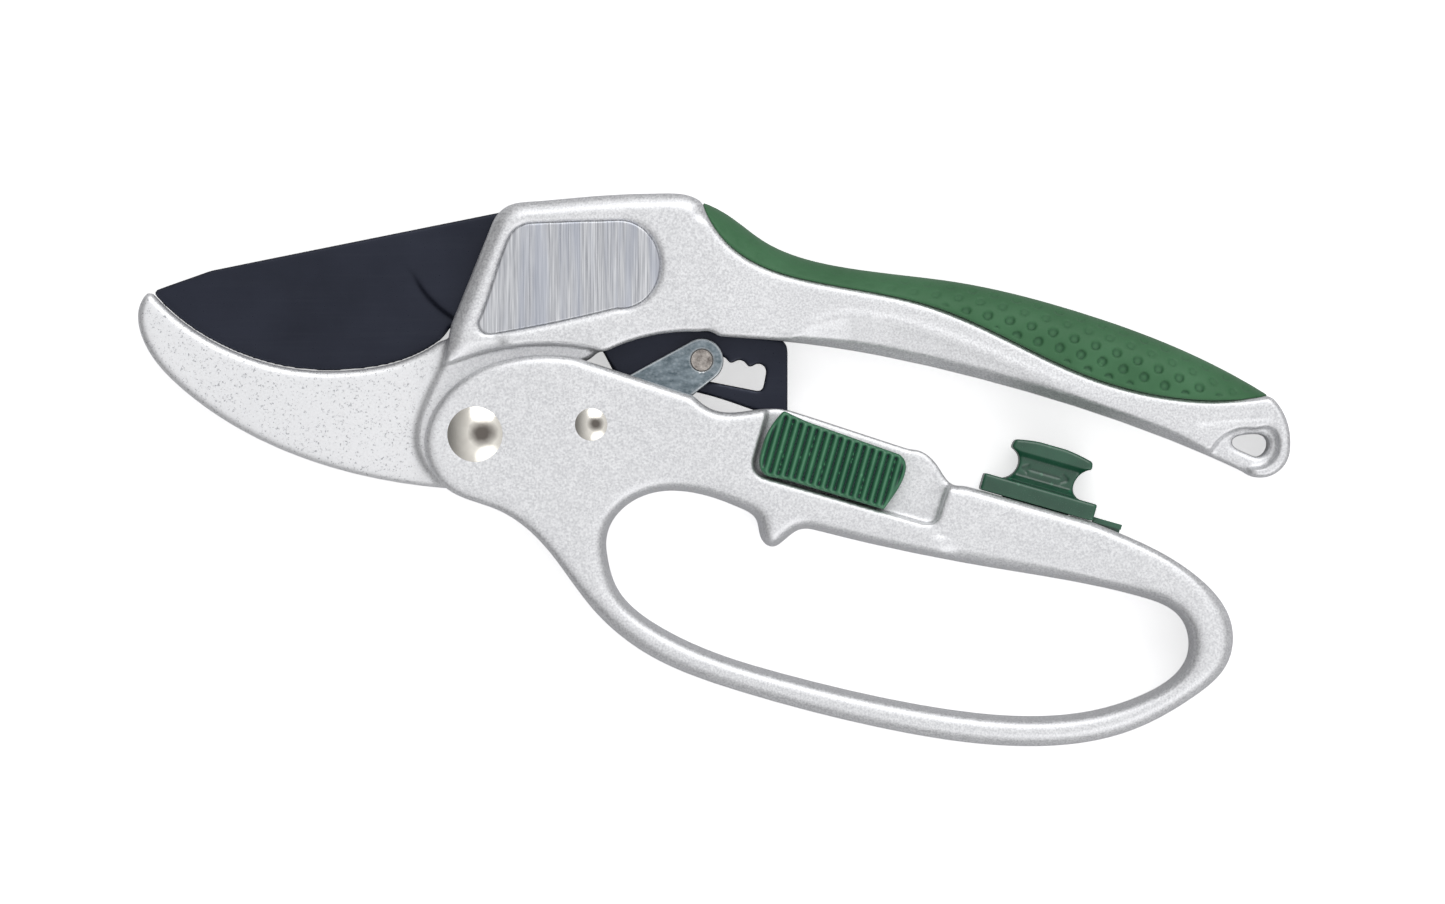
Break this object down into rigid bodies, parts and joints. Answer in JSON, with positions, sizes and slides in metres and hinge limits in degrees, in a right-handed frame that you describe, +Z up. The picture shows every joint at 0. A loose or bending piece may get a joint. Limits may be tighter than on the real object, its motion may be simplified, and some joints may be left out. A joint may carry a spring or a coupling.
{
  "type": "anvil pruner",
  "caption": "Hand pruner with a ratcheting blade that closes on a hooked anvil, a closed finger loop, a thumb lock and a sliding stop.",
  "frame": {"origin": "main pivot's axis in the resting plane, at the rivet's flush tail", "axes": "+X from the blade's tip to the handles' ends, +Y from the finger loop to the grip, +Z up, away from the surface it lies on"},
  "size_m": [0.2068, 0.0991, 0.0163],
  "materials": {
    "silver_casting": "fine metallic silver paint",
    "soft_grip": "soft green with small ring dimples",
    "brushed_label": "brushed across",
    "blade_coating": "smooth low-friction coating",
    "nickel_rivet": "polished nickel",
    "zinc_plate": "mottled zinc plating",
    "raw_pin": "rough upset end",
    "plain_steel": "drawn steel",
    "brass_washer": "turned",
    "lock_plastic": "satin moulded",
    "slider_plastic": "glossy moulded",
    "dark_steel": "black oxide"
  },
  "bodies": {
    "body": {"body_casting": "silver_casting", "grip_cover": "soft_grip", "label_plate_front": "brushed_label", "label_plate_back": "brushed_label", "blade_pivot_pin": "plain_steel", "blade_washers": "brass_washer"},
    "lower_handle": {"lower_handle": "silver_casting", "main_rivet": "nickel_rivet", "main_washers": "brass_washer", "opening_spring": "plain_steel", "link_rivet": "nickel_rivet", "lock_spring": "plain_steel"},
    "blade": {"blade": "blade_coating"},
    "link": {"link_plate_front": "zinc_plate", "link_plate_back": "zinc_plate", "link_pin": "raw_pin", "link_spacer": "plain_steel", "link_washers": "brass_washer", "link_spring": "plain_steel"},
    "thumb_lock": {"thumb_slide": "lock_plastic", "lock_plate": "dark_steel", "lock_stud": "plain_steel"},
    "stop": {"stop_slider": "slider_plastic", "slider_clip": "slider_plastic"}
  },
  "joints": [
    {"name": "handle_pivot", "type": "hinge", "parent": "body", "child": "lower_handle", "pos_m": [0, 0, 0.0075], "axis": [0, 0, -1], "range_deg": [0, 28], "deforming": ["opening_spring"]},
    {"name": "blade_pivot", "type": "hinge", "parent": "body", "child": "blade", "pos_m": [0.016, 0.026, 0.0075], "axis": [0, 0, -1], "range_deg": [0, 22.12]},
    {"name": "link_pivot", "type": "hinge", "parent": "lower_handle", "child": "link", "pos_m": [0.0208, 0.00175, 0.0075], "axis": [0, 0, -1], "range_deg": [-11.76, 0], "deforming": ["link_spring"]},
    {"name": "thumb_travel", "type": "slide", "parent": "lower_handle", "child": "thumb_lock", "axis": [0.9613, -0.2756, 0], "range_m": [0, 0.007]},
    {"name": "stop_travel", "type": "slide", "parent": "lower_handle", "child": "stop", "axis": [0.9617, -0.274, 0], "range_m": [-0.005, 0]}
  ],
  "couplings": [
    {"joint": "blade_pivot", "follows": "handle_pivot", "ratio": 0.79},
    {"joint": "link_pivot", "follows": "handle_pivot", "ratio": -0.42}
  ]
}
